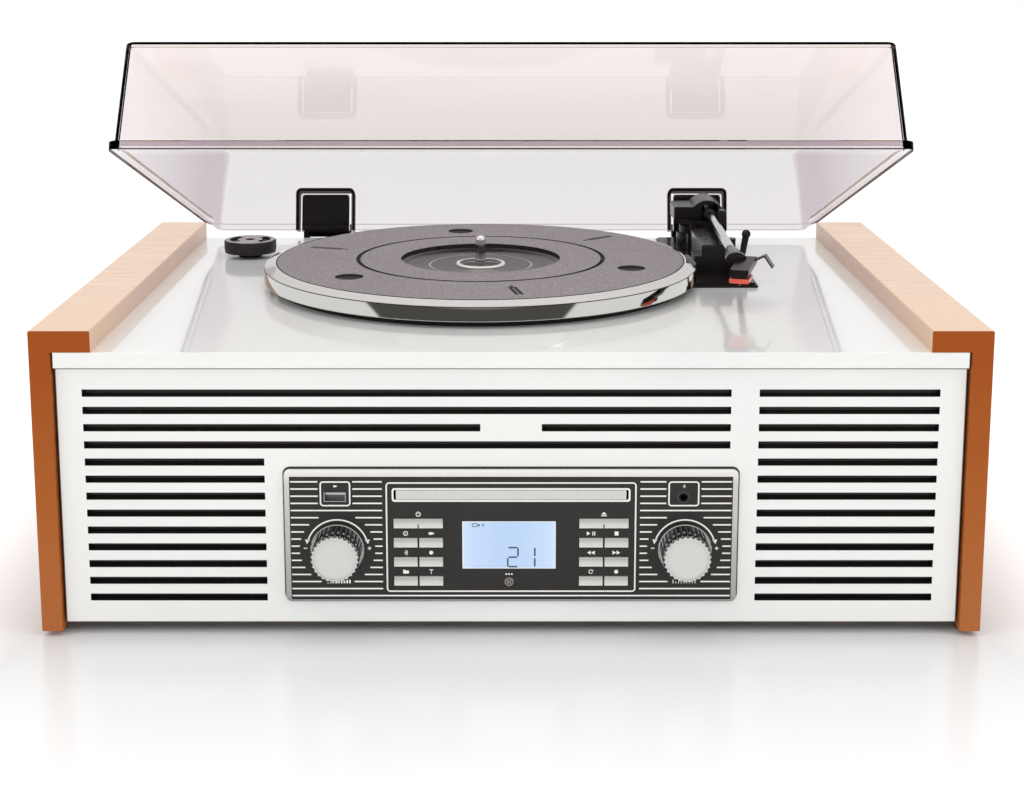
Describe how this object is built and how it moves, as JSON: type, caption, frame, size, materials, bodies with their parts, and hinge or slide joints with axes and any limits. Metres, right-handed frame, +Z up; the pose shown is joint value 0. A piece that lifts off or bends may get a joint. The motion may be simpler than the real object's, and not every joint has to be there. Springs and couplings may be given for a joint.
{
  "type": "stereo music centre",
  "caption": "Wood-sided stereo with a record player on its white deck, a smoked lid on rear hinges, slotted speaker front and a black control panel with CD drawer.",
  "frame": {"origin": "centre of the footprint on the surface that the feet stand on", "axes": "+Z up, the front with the controls faces -Y, +X to the right seen from the front"},
  "size_m": [0.55, 0.4143, 0.3438],
  "materials": {
    "wood": "satin lacquered veneer",
    "white_lacquer": "gloss lacquer on board",
    "dark_board": "matte painted board",
    "rubber": "matte",
    "screw_steel": "zinc plated",
    "black_cloth": "woven",
    "basket_steel": "satin paint",
    "cone_paper": "pressed paper",
    "silver_trim": "bright satin",
    "black_fascia": "semi-gloss",
    "display_glass": "lit display",
    "black_plastic": "moulded",
    "black_gloss": "gloss moulded",
    "button_silver": "semi-gloss",
    "drawer_silver": "semi-gloss",
    "dark_lens": "clear dark",
    "circuit_board": "solder mask",
    "transformer_iron": "varnished",
    "smoked_lid": "clear, smoked",
    "platter_metal": "turned and polished",
    "mat_rubber": "fine speckle",
    "spindle_chrome": "polished",
    "brass_pulley": "turned",
    "arm_metal": "polished tube",
    "red_plastic": "translucent red",
    "weight_iron": "satin",
    "knob_silver": "chrome plated"
  },
  "bodies": {
    "cabinet": {"side_panel_left": "wood", "side_panel_right": "wood", "deck_board": "white_lacquer", "front_panel": "white_lacquer", "base_board": "dark_board", "rear_panel": "dark_board", "rubber_feet": "rubber", "cabinet_screws": "screw_steel", "grille_cloth": "black_cloth", "speaker_frames": "basket_steel", "speaker_cones": "cone_paper", "control_bezel": "silver_trim", "control_fascia": "black_fascia", "display": "display_glass", "usb_socket": "screw_steel", "aux_jack": "black_plastic", "sensor_lens": "dark_lens", "main_board": "circuit_board", "transformer": "transformer_iron", "cd_mechanism": "black_plastic", "cord_gland": "black_plastic", "line_out_sockets": "black_plastic", "hinge_bases": "black_plastic", "turntable_chassis": "black_plastic", "drive_belt": "rubber", "motor": "screw_steel", "adapter_post": "black_plastic", "tonearm_base": "black_gloss"},
    "lid": {"lid": "smoked_lid", "hinge_arms": "black_plastic"},
    "platter": {"platter": "platter_metal", "platter_mat": "mat_rubber", "spindle": "spindle_chrome"},
    "motor_pulley": {"motor_pulley": "brass_pulley"},
    "adapter": {"adapter_45": "black_gloss"},
    "arm_pivot": {"pivot_housing": "black_gloss"},
    "record_arm": {"arm_tube": "arm_metal", "headshell": "black_gloss", "cartridge": "black_plastic", "stylus": "red_plastic", "counterweight": "weight_iron"},
    "cue_lever": {"cue_lever": "black_gloss"},
    "arm_lift": {"lift_platform": "black_plastic"},
    "cd_drawer": {"cd_tray": "drawer_silver"},
    "volume_knob": {"volume_knob": "knob_silver"},
    "tuning_knob": {"tuning_knob": "knob_silver"},
    "power_button": {"power_button": "button_silver"},
    "cd_button": {"cd_button": "button_silver"},
    "usb_button": {"usb_button": "button_silver"},
    "wireless_button": {"wireless_button": "button_silver"},
    "phono_button": {"phono_button": "button_silver"},
    "folder_button": {"folder_button": "button_silver"},
    "radio_button": {"radio_button": "button_silver"},
    "open_button": {"open_button": "button_silver"},
    "play_button": {"play_button": "button_silver"},
    "stop_button": {"stop_button": "button_silver"},
    "back_button": {"back_button": "button_silver"},
    "forward_button": {"forward_button": "button_silver"},
    "mode_button": {"mode_button": "button_silver"},
    "record_button": {"record_button": "button_silver"}
  },
  "joints": [
    {"name": "lid_hinge", "type": "hinge", "parent": "cabinet", "child": "lid", "pos_m": [0, 0.2045, 0.174], "axis": [-1, 0, 0], "range_deg": [-17.1, 50]},
    {"name": "platter_spin", "type": "hinge", "parent": "cabinet", "child": "platter", "pos_m": [-0.021, 0.0175, 0.171], "axis": [0, 0, 1], "continuous": true},
    {"name": "motor_spin", "type": "hinge", "parent": "cabinet", "child": "motor_pulley", "pos_m": [-0.10414, 0.0655, 0.171], "axis": [0, 0, 1], "continuous": true},
    {"name": "adapter_lift", "type": "slide", "parent": "cabinet", "child": "adapter", "axis": [0, 0, 1], "range_m": [0, 0.03]},
    {"name": "arm_swing", "type": "hinge", "parent": "cabinet", "child": "arm_pivot", "pos_m": [0.149, 0.1545, 0.2], "axis": [0, 0, -1], "range_deg": [0, 38]},
    {"name": "arm_raise", "type": "hinge", "parent": "arm_pivot", "child": "record_arm", "pos_m": [0.149, 0.1545, 0.2], "axis": [-0.9998, 0.0209, 0], "range_deg": [0, 10]},
    {"name": "cue_turn", "type": "hinge", "parent": "cabinet", "child": "cue_lever", "pos_m": [0.156, 0.0115, 0.179], "axis": [1, 0, 0], "range_deg": [0, 45]},
    {"name": "lift_slide", "type": "slide", "parent": "cabinet", "child": "arm_lift", "axis": [0, 0, 1], "range_m": [-0.005, 0]},
    {"name": "cd_drawer_slide", "type": "slide", "parent": "cabinet", "child": "cd_drawer", "axis": [0, -1, 0], "range_m": [0, 0.125]},
    {"name": "volume_turn", "type": "hinge", "parent": "cabinet", "child": "volume_knob", "pos_m": [-0.101, -0.1885, 0.0531], "axis": [0, 1, 0], "range_deg": [-140, 140]},
    {"name": "tuning_turn", "type": "hinge", "parent": "cabinet", "child": "tuning_knob", "pos_m": [0.101, -0.1885, 0.0531], "axis": [0, 1, 0], "continuous": true},
    {"name": "power_button_press", "type": "slide", "parent": "cabinet", "child": "power_button", "axis": [0, 1, 0], "range_m": [0, 0.0006], "stiffness_N_per_m": 500, "springref_m": -0.0006},
    {"name": "cd_button_press", "type": "slide", "parent": "cabinet", "child": "cd_button", "axis": [0, 1, 0], "range_m": [0, 0.0006], "stiffness_N_per_m": 500, "springref_m": -0.0006},
    {"name": "usb_button_press", "type": "slide", "parent": "cabinet", "child": "usb_button", "axis": [0, 1, 0], "range_m": [0, 0.0006], "stiffness_N_per_m": 500, "springref_m": -0.0006},
    {"name": "wireless_button_press", "type": "slide", "parent": "cabinet", "child": "wireless_button", "axis": [0, 1, 0], "range_m": [0, 0.0006], "stiffness_N_per_m": 500, "springref_m": -0.0006},
    {"name": "phono_button_press", "type": "slide", "parent": "cabinet", "child": "phono_button", "axis": [0, 1, 0], "range_m": [0, 0.0006], "stiffness_N_per_m": 500, "springref_m": -0.0006},
    {"name": "folder_button_press", "type": "slide", "parent": "cabinet", "child": "folder_button", "axis": [0, 1, 0], "range_m": [0, 0.0006], "stiffness_N_per_m": 500, "springref_m": -0.0006},
    {"name": "radio_button_press", "type": "slide", "parent": "cabinet", "child": "radio_button", "axis": [0, 1, 0], "range_m": [0, 0.0006], "stiffness_N_per_m": 500, "springref_m": -0.0006},
    {"name": "open_button_press", "type": "slide", "parent": "cabinet", "child": "open_button", "axis": [0, 1, 0], "range_m": [0, 0.0006], "stiffness_N_per_m": 500, "springref_m": -0.0006},
    {"name": "play_button_press", "type": "slide", "parent": "cabinet", "child": "play_button", "axis": [0, 1, 0], "range_m": [0, 0.0006], "stiffness_N_per_m": 500, "springref_m": -0.0006},
    {"name": "stop_button_press", "type": "slide", "parent": "cabinet", "child": "stop_button", "axis": [0, 1, 0], "range_m": [0, 0.0006], "stiffness_N_per_m": 500, "springref_m": -0.0006},
    {"name": "back_button_press", "type": "slide", "parent": "cabinet", "child": "back_button", "axis": [0, 1, 0], "range_m": [0, 0.0006], "stiffness_N_per_m": 500, "springref_m": -0.0006},
    {"name": "forward_button_press", "type": "slide", "parent": "cabinet", "child": "forward_button", "axis": [0, 1, 0], "range_m": [0, 0.0006], "stiffness_N_per_m": 500, "springref_m": -0.0006},
    {"name": "mode_button_press", "type": "slide", "parent": "cabinet", "child": "mode_button", "axis": [0, 1, 0], "range_m": [0, 0.0006], "stiffness_N_per_m": 500, "springref_m": -0.0006},
    {"name": "record_button_press", "type": "slide", "parent": "cabinet", "child": "record_button", "axis": [0, 1, 0], "range_m": [0, 0.0006], "stiffness_N_per_m": 500, "springref_m": -0.0006}
  ],
  "couplings": [
    {"joint": "motor_spin", "follows": "platter_spin", "ratio": 12.5},
    {"joint": "lift_slide", "follows": "cue_turn", "m_per_rad": -0.006365}
  ]
}
